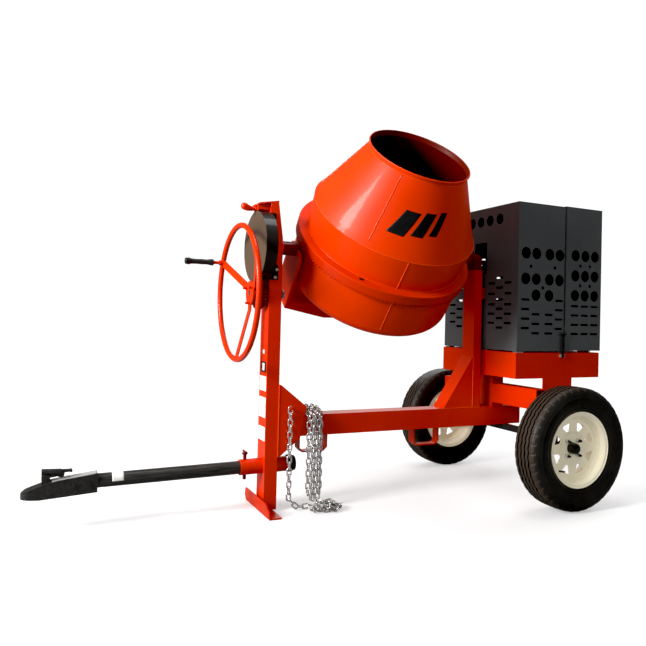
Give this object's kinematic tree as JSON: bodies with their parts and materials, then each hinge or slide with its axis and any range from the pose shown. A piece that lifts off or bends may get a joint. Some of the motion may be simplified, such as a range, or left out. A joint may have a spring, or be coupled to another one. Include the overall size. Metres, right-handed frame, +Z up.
{
  "type": "concrete mixer",
  "caption": "Towable concrete mixer: tilting steel drum in a yoke, geared handwheel on the front post, enclosed engine at the rear, road wheels, drawbar with ball coupler and safety chains.",
  "frame": {"origin": "on the ground under the middle of the front post, on the underside of its foot plate", "axes": "+X from the coupler towards the engine, +Y across the machine away from the drum mouth, +Z up"},
  "size_m": [2.901, 1.232, 1.8601],
  "materials": {
    "orange_paint": "gloss",
    "dark_red_paint": "satin",
    "black_paint": "satin",
    "housing_shell": "satin",
    "zinc": "bright zinc",
    "steel": "machined",
    "black_rubber": "matte",
    "black_plastic": "matte",
    "tyre_rubber": "matte",
    "cream_paint": "satin",
    "hub_black": "satin"
  },
  "bodies": {
    "chassis": {"axle": "black_paint", "coupler_body": "zinc", "coupler_clamp": "zinc", "drive_belt": "black_rubber", "engine_block": "black_paint", "engine_housing": "housing_shell", "engine_tray": "orange_paint", "foot_plate": "orange_paint", "frame_bolts": "zinc", "front_bearings": "orange_paint", "front_post": "orange_paint", "fuel_tank": "black_paint", "gear_guard": "black_paint", "housing_fittings": "zinc", "main_beam": "orange_paint", "muffler": "steel", "platform_stand": "orange_paint", "post_cap": "orange_paint", "post_gussets": "orange_paint", "rear_bearing": "dark_red_paint", "rear_pedestal": "orange_paint", "safety_chains": "zinc", "tie_down_loops": "orange_paint", "tow_sleeve": "orange_paint", "tow_tube": "black_paint", "tube_end_cap": "black_plastic"},
    "yoke": {"yoke_frame": "orange_paint", "front_trunnion": "steel", "rear_trunnion": "steel", "dump_gear": "steel", "drum_spindle": "steel"},
    "drum": {"drum_cone": "orange_paint", "drum_belly": "orange_paint", "drum_bowl": "orange_paint", "ring_gear": "dark_red_paint", "mixing_paddles": "orange_paint", "drum_hub": "orange_paint"},
    "pinion": {"pinion_shaft": "steel", "drive_pinion": "steel", "driven_pulley": "black_paint"},
    "engine_output": {"engine_pulley": "steel"},
    "handwheel": {"handwheel_rim": "orange_paint", "handwheel_spokes": "orange_paint", "handwheel_shaft": "steel", "dump_pinion": "steel"},
    "grip": {"crank_grip": "black_plastic"},
    "tilt_lock": {"tilt_lock_lever": "orange_paint"},
    "pin": {"hitch_pin": "zinc"},
    "coupler_latch": {"coupler_lever": "zinc"},
    "cover": {"rear_cover": "housing_shell"},
    "draw_latch_right": {"latch_right": "black_rubber"},
    "draw_latch_left": {"latch_left": "black_rubber"},
    "wheel_right": {"tyre_right": "tyre_rubber", "rim_right": "cream_paint", "hub_right": "hub_black", "wheel_nuts_right": "zinc"},
    "wheel_left": {"tyre_left": "tyre_rubber", "rim_left": "cream_paint", "hub_left": "hub_black", "wheel_nuts_left": "zinc"}
  },
  "joints": [
    {"name": "yoke_tilt", "type": "hinge", "parent": "chassis", "child": "yoke", "pos_m": [0.1, 0, 1.255], "axis": [1, 0, 0], "range_deg": [-80, 90]},
    {"name": "drum_spin", "type": "hinge", "parent": "yoke", "child": "drum", "pos_m": [0.587, 0, 1.255], "axis": [0, -0.6455, 0.7638], "continuous": true},
    {"name": "pinion_spin", "type": "hinge", "parent": "yoke", "child": "pinion", "pos_m": [1.2, 0, 1.255], "axis": [1, 0, 0], "continuous": true},
    {"name": "engine_spin", "type": "hinge", "parent": "chassis", "child": "engine_output", "pos_m": [1.35, 0, 0.915], "axis": [1, 0, 0], "continuous": true},
    {"name": "handwheel_turn", "type": "hinge", "parent": "chassis", "child": "handwheel", "pos_m": [-0.1, 0, 1.03], "axis": [1, 0, 0], "range_deg": [-200, 178]},
    {"name": "grip_spin", "type": "hinge", "parent": "handwheel", "child": "grip", "pos_m": [-0.285, 0.2728, 1.1875], "axis": [1, 0, 0], "continuous": true},
    {"name": "lock_lift", "type": "hinge", "parent": "chassis", "child": "tilt_lock", "pos_m": [-0.045, 0, 1.447], "axis": [0, 1, 0], "range_deg": [0, 12]},
    {"name": "pin_lift", "type": "slide", "parent": "chassis", "child": "pin", "axis": [0, 0, 1], "range_m": [0, 0.13]},
    {"name": "coupler_lift", "type": "hinge", "parent": "chassis", "child": "coupler_latch", "pos_m": [-0.968, 0, 0.23], "axis": [0, -1, 0], "range_deg": [0, 50]},
    {"name": "cover_open", "type": "hinge", "parent": "chassis", "child": "cover", "pos_m": [1.832, 0, 0.771], "axis": [0, 1, 0], "range_deg": [0, 95]},
    {"name": "latch_right_open", "type": "hinge", "parent": "chassis", "child": "draw_latch_right", "pos_m": [1.54, -0.332, 0.748], "axis": [1, 0, 0], "range_deg": [0, 110]},
    {"name": "latch_left_open", "type": "hinge", "parent": "chassis", "child": "draw_latch_left", "pos_m": [1.54, 0.332, 0.748], "axis": [-1, 0, 0], "range_deg": [0, 110]},
    {"name": "wheel_right_spin", "type": "hinge", "parent": "chassis", "child": "wheel_right", "pos_m": [1.403, -0.6, 0.305], "axis": [0, 1, 0], "continuous": true},
    {"name": "wheel_left_spin", "type": "hinge", "parent": "chassis", "child": "wheel_left", "pos_m": [1.403, 0.6, 0.305], "axis": [0, 1, 0], "continuous": true}
  ],
  "couplings": [
    {"joint": "pinion_spin", "follows": "drum_spin", "ratio": -14.2},
    {"joint": "engine_spin", "follows": "drum_spin", "ratio": -88.75},
    {"joint": "handwheel_turn", "follows": "yoke_tilt", "ratio": -2.2143}
  ]
}
